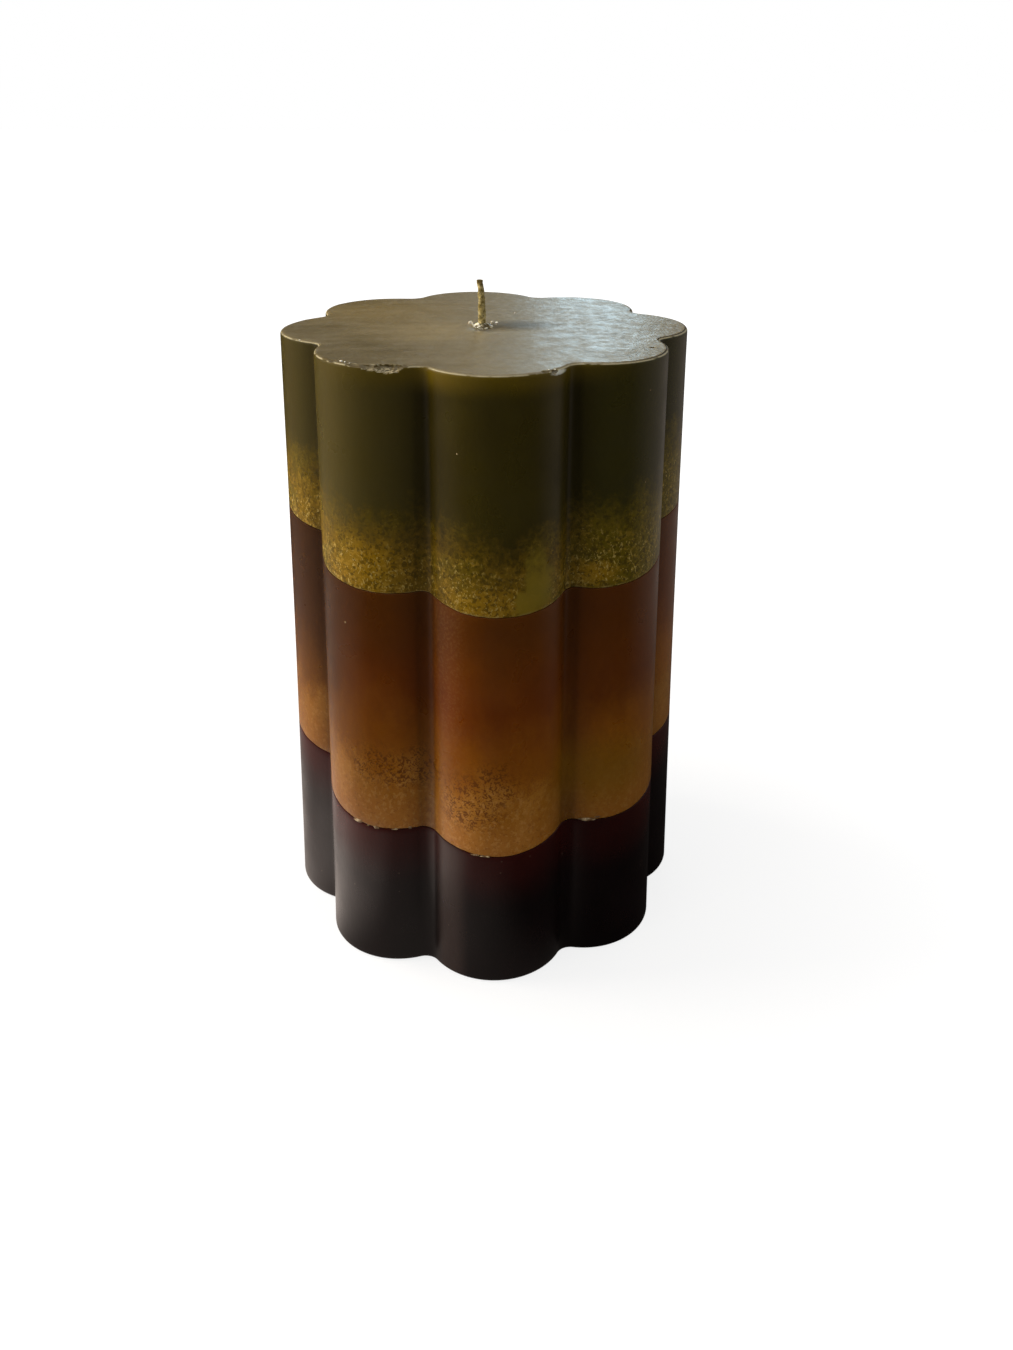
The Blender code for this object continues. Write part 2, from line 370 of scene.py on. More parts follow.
def carve(points):
    """Pushes points out of each chip's hollow. Returns the new points and how broken each one is."""
    broken = np.zeros(len(points))
    for (x, y), along, into, deep in CHIPS:
        centre = np.array((x * MM, y * MM, BODY_HEIGHT))
        inward = Vector((-centre[0], -centre[1], 0)).normalized()
        axes = np.array((UP.cross(inward), inward, UP))
        sizes = np.array((along, into, deep)) * MM
        near = np.where(np.abs((points - centre) @ axes.T / sizes).max(axis=1) < WORTH_A_LOOK)[0]
        if not len(near):
            continue
        facets = 1 + FACET_DEPTH * swell(points[near], FACET_SIZE, 3.0)
        local = (points[near] - centre) @ axes.T / sizes / facets[:, None]
        lead = local @ PUSH
        beyond = (local**2).sum(axis=1) - 1  # below 0 inside the egg
        travel = np.where(beyond < 0, -lead + np.sqrt(np.maximum(lead**2 - beyond, 0)), 0)
        moved = local + travel[:, None] * PUSH
        points[near] = centre + (moved * facets[:, None] * sizes) @ axes
        broken[near] = np.maximum(broken[near], np.where(beyond < 0, np.minimum(1, 0.3 + 2 * travel), 0))
    return points, broken


def remember(piece, name, values):
    """Stores one number per point, for a finish to read."""
    attribute = piece.data.attributes.new(name, "FLOAT", "POINT")
    attribute.data.foreach_set("value", np.asarray(values, np.float32))


print("chips:", len(CHIPS))

# %% [markdown]
# ## The three pours
# Now each pour is lofted. The foot of the plum pour has a shallow recess for the wick's steel disc and
# its neck. The olive pour has a small recess in its top, where a drop of wax closes the wick's hole.
# Wax leaves the mould with soft edges, about 0.8 mm round, while the two pour lines stay almost sharp.

# %% Loft the wax
LINE_ROUND = 0.28 * MM
FOOT_ROUND = 0.8 * MM
LIP_ROUND = 0.85 * MM
WICK_WAY = 1.3 * MM
SEAL_HOLE = 2.3 * MM
SEAL_FLOOR = BODY_HEIGHT - 1.5 * MM
DISC_HOLE = 10.3 * MM
DISC_DEPTH = 1.1 * MM
NECK_HOLE = 2.0 * MM
NECK_DEPTH = 6.7 * MM
NECK_CHAMFER = 0.7 * MM
LIP_INSETS = np.concatenate((0.36 * np.arange(1, 14), np.arange(5.2, 14.1, 1.1))) * MM
TOP_STEPS = 26
WALL_SHARES = np.linspace(0, 1, 30)[1:-1]
RIM_SHARES = 1 - np.concatenate((np.linspace(1, 0.16, 13)[1:], np.linspace(0.145, 0.01, 15)))


def loft_plum():
    """The foot of the candle, with the recess for the disc and its neck."""
    floor = level(0.0)
    rings = wall_rings(floor, plum_head, FOOT_ROUND, LINE_ROUND, WALL_SHARES)
    rings += face_rings(plum_head, LINE_ROUND, WICK_WAY)
    rings.append(wick_circle(WICK_WAY, NECK_DEPTH))
    rings.append(wick_circle(NECK_HOLE, NECK_DEPTH))
    rings.append(wick_circle(NECK_HOLE, DISC_DEPTH + NECK_CHAMFER))
    rings.append(wick_circle(NECK_HOLE + NECK_CHAMFER, DISC_DEPTH))
    rings.append(wick_circle(DISC_HOLE, DISC_DEPTH))
    return loft("plum_pour", rings + face_rings(floor, FOOT_ROUND, DISC_HOLE)[::-1])


def loft_amber():
    """The middle of the candle, between the two slanted lines."""
    rings = wall_rings(amber_foot, amber_head, LINE_ROUND, LINE_ROUND, WALL_SHARES)
    rings += face_rings(amber_head, LINE_ROUND, WICK_WAY)
    return loft("amber_pour", rings + face_rings(amber_foot, LINE_ROUND, WICK_WAY)[::-1])


def loft_olive():
    """The head of the candle, with its chipped lip, its dimple and the hole for the seal."""
    rings = wall_rings(olive_foot, top_height, LINE_ROUND, LIP_ROUND, RIM_SHARES)
    rings += face_rings(top_height, LIP_ROUND, SEAL_HOLE, LIP_INSETS, TOP_STEPS)
    rings.append(wick_circle(SEAL_HOLE, SEAL_FLOOR))
    rings.append(wick_circle(WICK_WAY, SEAL_FLOOR))
    rings += face_rings(olive_foot, LINE_ROUND, WICK_WAY)[::-1]
    carved, broken = carve(np.concatenate(rings))
    piece = loft("olive_pour", np.split(carved, len(rings)))
    remember(piece, "broken", broken)
    return piece


plum_pour = loft_plum()
amber_pour = loft_amber()
olive_pour = loft_olive()
for wax in (plum_pour, amber_pour, olive_pour):
    print(wax.name, "faces:", len(wax.data.polygons))

# %% [markdown]
# ## The wick
# The wick is waxed cotton, three plies laid round each other, and each ply is itself a bundle of yarns
# that turns the other way. It is 2 mm thick, draws together towards the cut end, and leans a little.
# Three tubes twisted round each other would cross inside. One skin is cleaner: its radius dips between
# the plies, ripples along each yarn, and swells where wax has caught.

# %% Twist the wick
WICK_RADIUS = 1.02 * MM
WICK_TIP_RADIUS = 0.74 * MM
WICK_MOST = 1.1 * WICK_RADIUS
PLIES = 3
PLY_PITCH = 9.0 * MM
PLY_DIP = 0.13
YARNS = 5
YARN_PITCH = 2.3 * MM
YARN_DIP = 0.07
WICK_LEAN = 0.6 * MM
FRAY = 0.10  # how much the cut end spreads
FRAY_LENGTH = 0.9 * MM
WICK_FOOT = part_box("wick")[0].z
WICK_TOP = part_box("wick")[1].z
WICK_SIDES = 72
FREE_FROM = BODY_HEIGHT - 0.5 * MM
FREE_STEP = 0.11 * MM
HELD_STEP = 2.0 * MM
CUT_END = ((0.97, 0.05 * MM), (0.8, 0.0), (0.4, 0.12 * MM))  # share of the radius, and drop


def wick_ring(height):
    """The wick's section at one height, with plies, yarns and caught wax."""
    share = max(0.0, (height - BODY_HEIGHT) / (WICK_TOP - BODY_HEIGHT))
    size = WICK_RADIUS + (WICK_TIP_RADIUS - WICK_RADIUS) * share**1.7
    flare = 1 + FRAY * math.exp(-(((WICK_TOP - height) / FRAY_LENGTH) ** 2))
    angles, spokes = spokes_round(WICK_SIDES)
    ply = PLIES * (angles - 2 * math.pi * height / PLY_PITCH)
    dip = PLY_DIP * (0.5 - 0.5 * np.cos(ply)) ** 1.5
    yarn = YARN_DIP * (0.5 - 0.5 * np.cos(YARNS * angles + 2 * math.pi * height / YARN_PITCH))
    surface = np.column_stack((spokes * size, np.full(WICK_SIDES, height)))
    caught = 0.05 * swell(surface, 0.9 * MM, 8.0) + 0.035 * swell(surface, 0.35 * MM, 9.0)
    radius = np.minimum(size * flare * (1 - dip - yarn + caught), WICK_MOST)
    return round_wick(spokes, radius, height) - np.array((WICK_LEAN * share**3, 0, 0))


def twist_wick():
    """One skin from the disc to the cut end. The held length is coarser, because nobody sees it."""
    held = np.arange(WICK_FOOT, FREE_FROM, HELD_STEP)
    free = np.arange(FREE_FROM, WICK_TOP, FREE_STEP)
    rings = [wick_ring(height) for height in np.concatenate((held, free, [WICK_TOP]))]
    tip = rings.pop()
    middle = tip.mean(axis=0)
    for share, drop in CUT_END:
        rings.append(middle + (tip - middle) * share - np.array((0, 0, drop)))
    return loft("cotton_wick", rings, endless=False)


cotton_wick = twist_wick()
print("wick stands out in mm:", round((WICK_TOP - BODY_HEIGHT) / MM, 1))

# %% [markdown]
# ## The drop that closes the wick's hole
# Round the foot of the wick sits a ragged collar of paler wax, and a few crumbs that broke off when the
# wick was trimmed. A turned profile gives the plug and its collar, and noise in both height and reach
# keeps it from looking like a washer.

# %% Drip the seal
SEAL_RADIUS = 2.25 * MM
SEAL_LIFT = 0.02 * MM
COLLAR_REACH = 2.6 * MM
COLLAR_CLIMB = 0.85 * MM
COLLAR_EDGE = 0.12 * MM
SEAL_SIDES = 96


def drip_seal():
    """A plug in its hole with a ragged collar that climbs the wick."""
    spokes = spokes_round(SEAL_SIDES)[1]
    around = np.column_stack((spokes * 2.4 * MM, np.zeros(SEAL_SIDES)))
    ragged = swell(around, 1.3 * MM, 4.0) + 0.5 * swell(around, 0.5 * MM, 6.0)
    reach = COLLAR_REACH * (1 + 0.16 * ragged)
    hole = WICK_RADIUS * 1.12
    floor = SEAL_FLOOR + 0.3 * MM

    def on_top(radius, lift):
        ring = round_wick(spokes, radius, 0)
        return np.column_stack((ring[:, :2], top_height(ring) + lift))

    rings = [round_wick(spokes, radius, floor) for radius in (hole, SEAL_RADIUS)]
    rings += [on_top(radius, SEAL_LIFT) for radius in (SEAL_RADIUS, reach)]
    for share in np.linspace(0, 1, 9):
        radius = reach + (hole - reach) * share
        lumps = 1 + 0.5 * swell(round_wick(spokes, radius, 0), 0.8 * MM, 7.0)
        rings.append(on_top(radius, COLLAR_EDGE + (COLLAR_CLIMB - COLLAR_EDGE) * share**2.2 * lumps))
    return loft("pale_seal", rings)


pale_seal = drip_seal()
print("collar reaches in mm:", round(COLLAR_REACH / MM, 1))

# %% [markdown]
# ## Crumbs and flecks
# Little bits of pale wax lie round the wick, along the knocked lip and on the wall. Along the lower pour
# line there are also flecks: scraps of skin from the plum pour's cold face that the amber wax picked up.
# A crumb starts as a small ball, and is squeezed and roughened. Crumbs lie on the face, and flecks lie
# almost flush in the wall, so each one is placed by where it touches.

# %% Scatter crumbs and flecks
random.seed(7)
BALL_CUTS = 3
FLECK_THICK = 0.12 * MM
FLECK_SUNK = 0.04 * MM
WICK_CRUMBS = (  # place on the top face and size
    ((-3.6, 4.2), 0.58),
    ((-3.0, 2.9), 0.30),
    ((1.9, 5.6), 0.36),
    ((2.9, 4.3), 0.40),
    ((1.5, 3.9), 0.26),
    ((-1.9, 0.1), 0.28),
    ((0.2, -0.1), 0.22),
    ((8.6, 17.5), 0.15),
)
LIP_CRUMBS = (
    ((-33.8, -35.3), 0.34),
    ((-32.9, -36.2), 0.22),
    ((-31.9, -37.0), 0.16),
    ((10.2, -46.0), 0.22),
    ((11.5, -45.6), 0.20),
    ((-44.3, -13.4), 0.26),
)
WALL_FLECKS = (  # place on the wall and half size along and up
    ((-33.2, -36.8, 37.5), 1.25, 0.45),
    ((-29.1, -39.1, 36.9), 0.70, 0.42),
    ((-30.8, -38.3, 37.1), 0.25, 0.22),
    ((-24.4, -40.2, 36.8), 0.75, 0.25),
    ((-21.0, -40.1, 37.0), 0.45, 0.35),
    ((-6.0, -49.0, 34.6), 1.00, 0.20),
    ((-3.8, -49.2, 34.5), 1.20, 0.18),
    ((21.9, -40.2, 36.9), 2.20, 0.42),
    ((24.1, -40.2, 37.4), 0.80, 0.30),
    ((-34.9, -35.3, 88.7), 0.30, 0.28),
    ((34.0, -36.4, 142.7), 0.22, 0.20),
    ((33.5, -36.7, 121.3), 0.18, 0.18),
    ((-9.5, -47.0, 132.2), 0.20, 0.20),
)


def rough_ball(along, out, sizes, middle, seed):
    """Points and faces of one upright crumb, with its two level axes and its half sizes."""
    shape = bmesh.new()
    bmesh.ops.create_icosphere(shape, subdivisions=BALL_CUTS, radius=1.0)
    axes = Matrix((along, out, UP)).transposed()
    points = []
    for vert in shape.verts:
        grown = vert.co * (1 + 0.32 * noise.noise(vert.co * 1.3 + Vector((seed, 0, 0))))
        grown *= 1 + 0.12 * noise.noise(vert.co * 3.5 + Vector((0, seed, 0)))
        points.append(middle + axes @ (grown * Vector(sizes)))
    faces = [tuple(vert.index for vert in face.verts) for face in shape.faces]
    shape.free()
    return points, faces


def gather(name, balls):
    """Joins crumbs into one piece of separate closed skins."""
    points = []
    faces = []
    for ball_points, ball_faces in balls:
        faces += [tuple(len(points) + index for index in face) for face in ball_faces]
        points += ball_points
    return make_piece(name, points, faces)


def lying_crumbs(places):
    """Crumbs on the top face, each turned its own way."""
    balls = []
    for (x, y), size in places:
        turn = random.uniform(0, math.pi)
        along = Vector((math.cos(turn), math.sin(turn), 0))
        sizes = (size * random.uniform(0.9, 1.4) * MM, size * MM, size * random.uniform(0.5, 0.8) * MM)
        height = top_height(np.array([(x * MM, y * MM, 0)]))[0]
        middle = Vector((x * MM, y * MM, height + sizes[2] * 0.6))
        balls.append(rough_ball(along, UP.cross(along), sizes, middle, x + y))
    return balls


def wall_crumbs(places):
    """Flecks set almost flush in the wall, at the outline's nearest point."""
    balls = []
    for (x, y, z), along_size, up_size in places:
        nearest = np.argmin(np.linalg.norm(OUTLINE - np.array((x, y)) * MM, axis=1))
        out = Vector((*OUTWARD[nearest], 0))
        inset = wall_inset(ring_at(0, z * MM))[nearest]
        middle = Vector((*OUTLINE[nearest], z * MM)) - out * (inset + FLECK_SUNK)
        sizes = (along_size * MM, FLECK_THICK, up_size * MM)
        balls.append(rough_ball(out.cross(UP), out, sizes, middle, x - z))
    return balls


wick_crumbs = gather("wick_crumbs", lying_crumbs(WICK_CRUMBS))
lip_crumbs = gather("lip_crumbs", lying_crumbs(LIP_CRUMBS))
wall_flecks = gather("wall_flecks", wall_crumbs(WALL_FLECKS))
print("crumbs and flecks:", len(WICK_CRUMBS) + len(LIP_CRUMBS) + len(WALL_FLECKS))

# %% [markdown]
# ## The wick's foot
# Under the candle a thin stamped disc of tinned steel holds the wick. Its neck is squeezed round the
# wick in three places and stands in a small rolled bead, and a pressed ring stiffens the disc. We turn one
# sheet: down the neck's inside, out along the underside, back over the top and up the neck's outside.

# %% Stamp the disc
DISC_RADIUS = 10.0 * MM
DISC_SHEET = 0.4 * MM
DISC_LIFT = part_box("wick_sustainer")[0].z
NECK_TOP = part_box("wick_sustainer")[1].z - DISC_LIFT
NECK_FOOT = 1.2 * MM
NECK_INSIDE = 1.3 * MM
NECK_OUTSIDE = NECK_INSIDE + DISC_SHEET
NECK_BEND = 0.8 * MM
BEAD_OUT = 0.72 * MM
BEAD_HIGH = 0.9 * MM
FLAT_FROM = 2.6 * MM
PRESSED_AT = 6.2 * MM
PRESSED_WIDE = 0.7 * MM
PRESSED_HIGH = 0.18 * MM
SQUEEZE = 0.10
DISC_SIDES = 144


def stamp_disc():
    """The disc and its neck as one turned sheet with a pressed ring and a squeezed neck."""
    angles, spokes = spokes_round(DISC_SIDES)
    pinch = SQUEEZE * (0.5 + 0.5 * np.cos(3 * angles)) ** 4
    rings = []

    def turn(radius, height, pinched=0.0):
        rings.append(round_wick(spokes, radius * (1 - pinch * pinched), DISC_LIFT + height))

    def climb(radius, shares):
        for share in shares:
            turn(radius, NECK_FOOT + (NECK_TOP - NECK_FOOT) * share, math.sin(math.pi * share) ** 2)

    up = np.linspace(0, 1, 13)
    bend = 1 - np.sin(np.linspace(0, math.pi / 2, 6))
    spread = np.linspace(FLAT_FROM, DISC_RADIUS - 0.1 * MM, 40)
    pressed = PRESSED_HIGH * np.exp(-(((spread - PRESSED_AT) / PRESSED_WIDE) ** 2))
    climb(NECK_INSIDE, up[::-1])
    for out, down in zip(bend[::-1], bend):
        turn(NECK_INSIDE + NECK_BEND * out, NECK_BEND * down)
    for radius, rise in zip(spread, pressed):
        turn(radius, rise)
    turn(DISC_RADIUS, DISC_SHEET / 2)
    for radius, rise in zip(spread[::-1], pressed[::-1]):
        turn(radius, DISC_SHEET + rise)
    for share in bend[::-1]:
        turn(NECK_OUTSIDE + BEAD_OUT * share, DISC_SHEET + BEAD_HIGH * share)
    climb(NECK_OUTSIDE, up[1:])
    return loft("steel_disc", rings)


steel_disc = stamp_disc()
print("disc across in mm:", round(2 * DISC_RADIUS / MM, 1))

# %% [markdown]
# ## A recipe for a finish
# Each finish is a small graph of nodes. Written out node by node, such a graph hides what it is for. So
# each result of a node is wrapped as an ingredient, which adds and multiplies like a number and makes the
# node for it. The other helpers are the moves a wax maker would name: grain of some size, a soft fade, a
# stir of one colour into another.
# Colours are written as they look on a screen, and turned into light by the usual curve.
# Every pattern is laid out in millimetres on the object itself, so it stays put from any side.

# %% Ingredients


def add(recipe, kind, feeds, result=0, **settings):
    """Adds one node, sets it up, feeds its sockets and hands back one of its results."""
    made = recipe.nodes.new("ShaderNode" + kind)
    for name, value in settings.items():
        setattr(made, name, value)
    for socket, value in feeds.items():
        if isinstance(value, Ingredient):
            recipe.links.new(value.socket, made.inputs[socket])
        else:
            made.inputs[socket].default_value = value
    return Ingredient(recipe, made.outputs[result])


class Ingredient:
    """One result of a recipe's node: a number, a place or a colour that differs from point to point."""

    def __init__(self, recipe, socket):
        self.recipe = recipe
        self.socket = socket

    def sum(self, operation, first, second):
        return add(self.recipe, "Math", {0: first, 1: second}, operation=operation)

    def __add__(self, other):
        return self.sum("ADD", self, other)

    def __sub__(self, other):
        return self.sum("SUBTRACT", self, other)

    def __rsub__(self, other):
        return self.sum("SUBTRACT", other, self)

    def __mul__(self, other):
        return self.sum("MULTIPLY", self, other)

    def larger(self, other):
        """The larger of the two at each point."""
        return self.sum("MAXIMUM", self, other)

    def fade(self, low, high, start=0.0, end=1.0):
        """Goes softly from start to end while this goes from low to high."""
        feeds = {"Value": self, "From Min": low, "From Max": high, "To Min": start, "To Max": end}
        return add(self.recipe, "MapRange", feeds, interpolation_type="SMOOTHSTEP")

    def strip(self, outer_low, low, high, outer_high):
        """1 from low to high, and softly down to 0 at the outer two."""
        return self.fade(outer_low, low) * self.fade(high, outer_high, 1, 0)

    def moved(self, operation, *others):
        """This place after one step of vector sums."""
        feeds = dict(enumerate((self, *others)))
        return add(self.recipe, "VectorMath", feeds, operation=operation)

    def along(self, direction):
        """How far this place lies in a direction."""
        return add(self.recipe, "VectorMath", {0: self, 1: direction}, "Value", operation="DOT_PRODUCT")

    def far(self):
        """How far this place is from the middle."""
        return add(self.recipe, "VectorMath", {0: self}, "Value", operation="LENGTH")

    def part(self, axis):
        """The X, Y or Z of this place."""
        return add(self.recipe, "SeparateXYZ", {0: self}, axis)


def colour(red, green, blue):
    """A colour as seen on a screen, from 0 to 255, as light."""
    channels = [value / 255 for value in (red, green, blue)]
    return (*(c / 12.92 if c <= 0.04045 else ((c + 0.055) / 1.055) ** 2.4 for c in channels), 1.0)


def stir(first, share, second):
    """Stirs the second colour into the first."""
    feeds = {"Factor": share}
    for socket, tint in ((6, first), (7, second)):
        feeds[socket] = tint if isinstance(tint, Ingredient) else colour(*tint)
    return add(share.recipe, "Mix", feeds, 2, data_type="RGBA")


def place(recipe, stretch=(1, 1, 1)):
    """Where a point is on the candle, in millimetres, with each axis stretched."""
    here = add(recipe, "TexCoord", {}, "Object")
    return here.moved("MULTIPLY", [1 / (MM * factor) for factor in stretch])


print("ingredients ready")

# %% [markdown]
# ## Grain, lines and spots
# The finishes use four kinds of pattern: grain that is everywhere, colour that follows a pour line, painted
# shade that gathers in the valleys, and marks in one place only. Each gets its own helper. A spot with a
# clean edge looks painted on, so the place that it is laid on is frayed by grain first.

# %% Helpers for the recipes


def grain(where, size, detail=2.0, roughness=0.5, warp=0.0):
    """Cloudy grain about size millimetres across, from 0 to 1."""
    feeds = {"Vector": where, "Scale": 1 / size, "Detail": detail, "Roughness": roughness, "Distortion": warp}
    return add(where.recipe, "TexNoise", feeds)


def stretched_grain(where, stretch, *settings):
    """Grain drawn out along the axes."""
    return grain(place(where.recipe, stretch), *settings)


def height_over(where, line):
    """Millimetres above a slanted pour line."""
    square = (0, -math.sin(POUR_SLANT), math.cos(POUR_SLANT))
    return where.along(square) - line / MM * math.cos(POUR_SLANT)


def painted_valley_shade(where):
    """Mask for painted shade in the wall's valleys: 1 at a valley's bottom and 0 on the lobes, a tight crease
    in a soft hollow.
    """
    far = where.moved("MULTIPLY", (1, 1, 0)).far()
    return far.fade(43.4, 44.3, 0.5, 0) + far.fade(43.4, 47.5, 0.5, 0)


def frayed(where, size, reach):
    """Shifts points by grain, so that a spot laid on them gets a frayed edge."""
    shake = add(where.recipe, "TexNoise", {"Vector": where, "Scale": 1 / size, "Detail": 4}, "Color")
    return shake.moved("SUBTRACT", (0.5, 0.5, 0.5)).moved("MULTIPLY_ADD", (reach, reach, reach), where)


def spot(where, centre, reach, softness):
    """1 inside an egg-shaped spot and 0 outside. Centre and reach are in millimetres."""
    far = where.moved("SUBTRACT", centre).moved("DIVIDE", reach).far()
    return far.fade(1 - softness, 1 + softness, 1, 0)


def spots(where, eggs, softness):
    """Several spots together."""
    return functools.reduce(Ingredient.larger, [spot(where, *egg, softness) for egg in eggs])


def paint_side_light_and_shade(tint, where, sides):
    """Paints light and shade on the wax from left to right: where each tint starts and is full, its share and
    colour.
    """
    across = where.part("X")
    for start, full, share, shade in sides:
        tint = stir(tint, across.fade(start, full, 0, share), shade)
    return tint


def satin(where, size):
    """The roughness of a wall that has left a smooth mould."""
    return grain(where, size, 3).fade(0.3, 0.7, 0.27, 0.35)


def new_recipe(name, specular, glow=0.0, glow_reach=2.0, metallic=0.0):
    """A material with its even values set, and the place that its patterns are laid on.

    Glow is the share of light that wanders through wax, over glow_reach millimetres.
    """
    material = bpy.data.materials.new(name)
    material.use_nodes = True
    evens = material.node_tree.nodes["Principled BSDF"].inputs
    evens["Specular IOR Level"].default_value = specular
    evens["Metallic"].default_value = metallic
    evens["Subsurface Weight"].default_value = glow
    evens["Subsurface Radius"].default_value = (1.0, 0.7, 0.25)
    evens["Subsurface Scale"].default_value = glow_reach * MM
    return material, place(material.node_tree)


def finish_with(material, tint, roughness, relief, depth):
    """Feeds colour, roughness and a fine relief, whose depth is in millimetres, to the shader."""
    recipe = material.node_tree
    bump = add(recipe, "Bump", {"Height": relief, "Distance": depth * MM, "Strength": 1.0})
    for name, fed in (("Base Color", tint), ("Roughness", roughness), ("Normal", bump)):
        recipe.links.new(fed.socket, recipe.nodes["Principled BSDF"].inputs[name])
    return material


print("helpers ready")

# %% [markdown]
# ## Plum wax
# The foot is almost black. Near the line it is a little redder, where the hot amber wax warmed it, and
# lower down it cools to charcoal. It has a satin skin with a few tiny specks, and a paler painted
# highlight on the left flank of the front lobe.

# %% Mix the plum wax
WAX_SPECULAR = 0.35
SKIN_DEPTH = 0.02


def mix_plum():
    """Near-black wax, redder towards the line."""
    material, where = new_recipe("plum_wax", WAX_SPECULAR, glow=0.05)
    clouds = grain(where, 24, 3)
    tint = stir((15, 7, 7), clouds.fade(0.4, 0.7), (22, 12, 12))
    under = 0 - height_over(where, LOW_LINE)
    tint = stir(tint, under.fade(1, 16, 1, 0) * clouds.fade(0.3, 0.7, 0.5, 1), (56, 12, 7))
    # painted highlight: a paler stripe on the left flank of the front lobe
    plum_highlight_paint = where.part("X").strip(-15.5, -13, -11, -7)
    tint = stir(tint, plum_highlight_paint * 0.5, (64, 50, 46))
    specks = add(where.recipe, "TexVoronoi", {"Vector": where, "Scale": 1 / 5.5}).fade(0.02, 0.05, 1, 0)
    tint = stir(tint, specks * 0.35, (110, 95, 80))
    return finish_with(material, tint, satin(where, 7), stretched_grain(where, (1, 1, 3), 0.7, 3), SKIN_DEPTH)


plum_wax = mix_plum()
print("mixed", plum_wax.name)

# %% [markdown]
# ## Amber wax
# The middle pour goes through three moods. Right under the olive wax it is dark brown, half-way it glows
# orange brown, and its lowest two centimetres, which hit the cold plum wax, set fast and turned to a pale
# ochre full of tiny grains. The ragged edge between glow and ochre is dusted with dark specks.
# The wax gets painted shade: browner towards both sides, darker on the far left and in the valleys, and the
# ochre browner on the right. The left flank of the front lobe carries a painted sheen of pale specks, and a
# honey-coloured patch shows in the ochre of the front-right lobe.

# %% Mix the amber wax
# painted shade: the amber wax darker towards the right and towards the left
AMBER_SIDE_SHADE = (
    (14, 26, 0.6, (84, 40, 2)),
    (-30, -40, 0.85, (62, 34, 4)),
)
DUST_SPOTS = (  # centre and reach in millimetres
    ((-22, -40, 53), (9, 8, 5)),
    ((-29, -39, 54), (5, 5, 5)),
    ((-7, -48, 48), (8, 8, 7)),
    ((-1, -49.6, 53), (5, 5, 6)),
)
HONEY_SPOT = ((25, -40, 50.5), (11, 9, 7.5))


def mix_ochre(where, up, wisps, fine):
    """The chilled zone: ochre with pale grains and crumbly gaps, and painted shade that browns it on the
    right.
    """
    ochre = stir((160, 100, 16), wisps.fade(0.4, 0.65), (172, 114, 38))
    ochre = stir(ochre, up.fade(2, 12, 0.6, 0), (172, 110, 42))
    ochre = stir(ochre, fine.fade(0.5, 0.62, 0, 0.5), (194, 140, 72))
    crumbly = grain(where, 0.9, 4, 0.7, 0.8).fade(0.36, 0.46, 1, 0)
    ochre = stir(ochre, crumbly * 0.4, (112, 62, 6))
    # painted shade: browner on the right
    return stir(ochre, where.part("X").fade(4, 18, 0, 0.5), (118, 72, 8))


def mix_amber():
    """Brown under the upper line, glowing in the middle, chilled to ochre over the lower line."""
    material, where = new_recipe("amber_wax", WAX_SPECULAR, glow=0.3, glow_reach=4.0)
    wisps = stretched_grain(where, (1, 1, 1.6), 8, 4, 0.6)
    fine = grain(where, 1.1, 4, 0.65)
    across = where.part("X")
    up = height_over(where, LOW_LINE)
    down = MIDDLE_POUR / MM * math.cos(POUR_SLANT) - up
    edge = up + (wisps - 0.5) * -20 + (fine - 0.5) * 8

    tint = stir((110, 50, 0), grain(where, 26, 3).fade(0.35, 0.65), (126, 65, 2))
    tint = stir(tint, (down + wisps * 14).fade(8, 34, 1, 0), (94, 48, 2))
    # painted shade: darker towards both sides
    tint = paint_side_light_and_shade(tint, where, AMBER_SIDE_SHADE)
    warmed = edge.fade(12, 38, 1, 0) * across.fade(-30, -40, 0.8, 0.62)
    tint = stir(tint, warmed, (156, 94, 8))
    chilled = edge.fade(11, 21, 1, 0)
    tint = stir(tint, chilled, mix_ochre(where, up, wisps, fine))

    dusted = spots(frayed(where, 4, 6), DUST_SPOTS, 0.4).larger(edge.strip(8, 16, 18, 26) * 0.4)
    dust = grain(where, 0.85, 3, 0.6, 1.4).fade(0.45, 0.49, 1, 0)
    tint = stir(tint, dust * dusted * 0.85, (98, 50, 0))
    # painted shade: darker on the far left
    tint = stir(tint, across.fade(-22, -34, 0, 0.42), (34, 18, 6))
    # painted shade in the valleys
    tint = stir(tint, painted_valley_shade(where) * 0.5, (34, 14, 0))
    # painted sheen: pale specks on the left flank of the front lobe
    front_flank_sheen_paint = across.strip(-16, -13.5, -11, -6) * grain(where, 0.7, 4, 0.7).fade(0.46, 0.64)
    tint = stir(tint, front_flank_sheen_paint * 0.22, (146, 104, 60))
    tint = stir(tint, spot(frayed(where, 3, 3), *HONEY_SPOT, 0.7) * 0.65, (124, 84, 2))
    skin = stretched_grain(where, (1, 1, 2), 0.6, 3) + fine * chilled * 2.5
    return finish_with(material, tint, satin(where, 8), skin, SKIN_DEPTH)


amber_wax = mix_amber()
print("mixed", amber_wax.name)

# %% [markdown]
# ## The mottled band
# The lowest two centimetres of the olive pour are the candle's showpiece: a band of moss and ochre flakes
# with dark gaps and pale strokes between them. Cells of a Voronoi pattern, frayed and clumped by grain,
# give each flake its own shade. One smooth patch low on the front lobe has no flakes at all, and the band
# is darker and greener on the right.

# %% Mix the band
GOLD_SPOTS = (  # centre and reach in millimetres
    ((21, -40.5, 101), (6, 6, 2.6)),
    ((-29, -39, 104), (7, 7, 8)),
    ((-3, -49, 97), (9, 6, 4)),
)
SMOOTH_SPOTS = (
    ((8.5, -47.5, 103), (3.6, 6, 7)),
    ((5.5, -48.5, 97.5), (3.2, 5, 3)),
)


